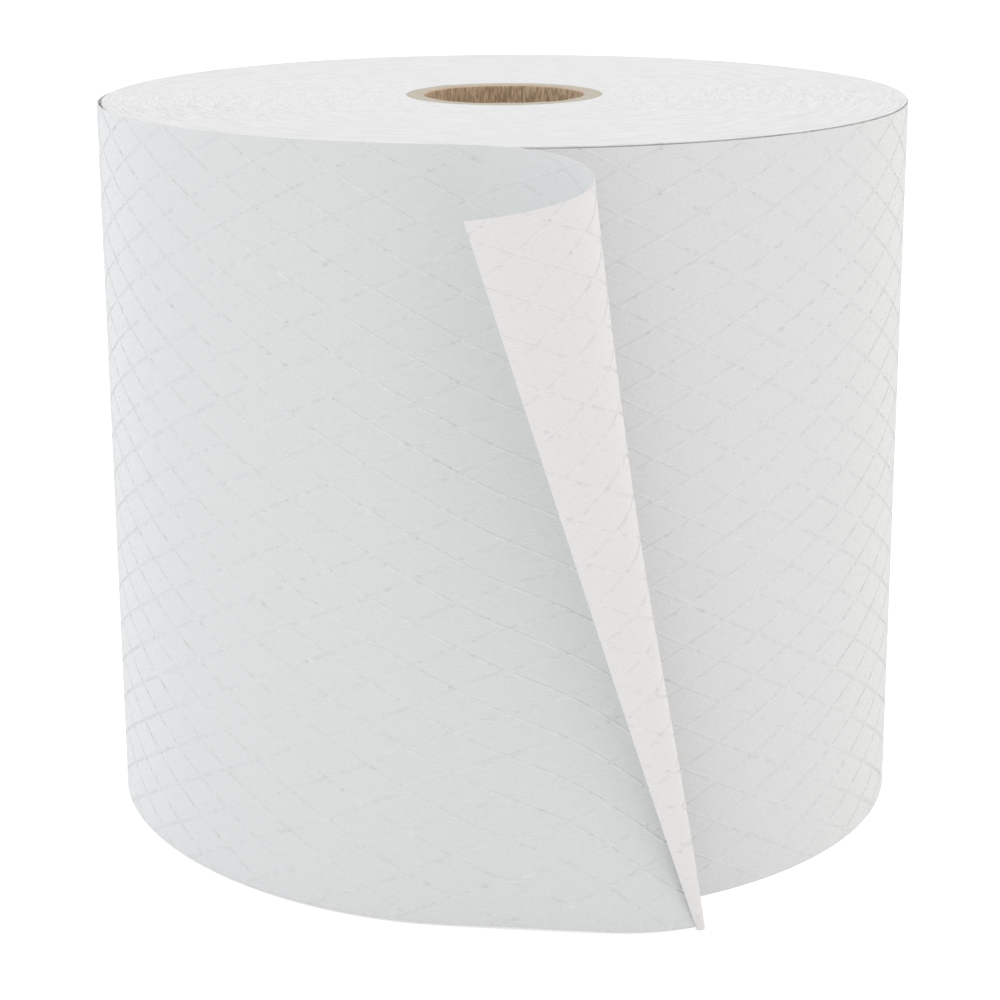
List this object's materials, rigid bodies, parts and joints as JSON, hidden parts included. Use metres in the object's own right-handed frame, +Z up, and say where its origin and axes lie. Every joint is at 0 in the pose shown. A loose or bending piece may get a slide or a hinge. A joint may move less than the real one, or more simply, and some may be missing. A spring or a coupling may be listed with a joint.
{
  "type": "roll of cleaning wipers",
  "caption": "Large roll of embossed white cleaning wipers on an open cardboard core, standing on end with its slack last turn curled forward at the front.",
  "frame": {"origin": "on the axis of the core's bore, level with the roll's lower end", "axes": "+Z up along the axis of the roll, -Y towards the front where the loose end curls over, +X to the right seen from the front"},
  "size_m": [0.3563, 0.4372, 0.3173],
  "materials": {
    "core_board": "spiral-wound board, bare and matte",
    "wiper": "soft white nonwoven, embossed with crossing diagonal lines"
  },
  "bodies": {
    "root": {"cardboard_core": "core_board", "wiper_web": "wiper"}
  },
  "joints": []
}
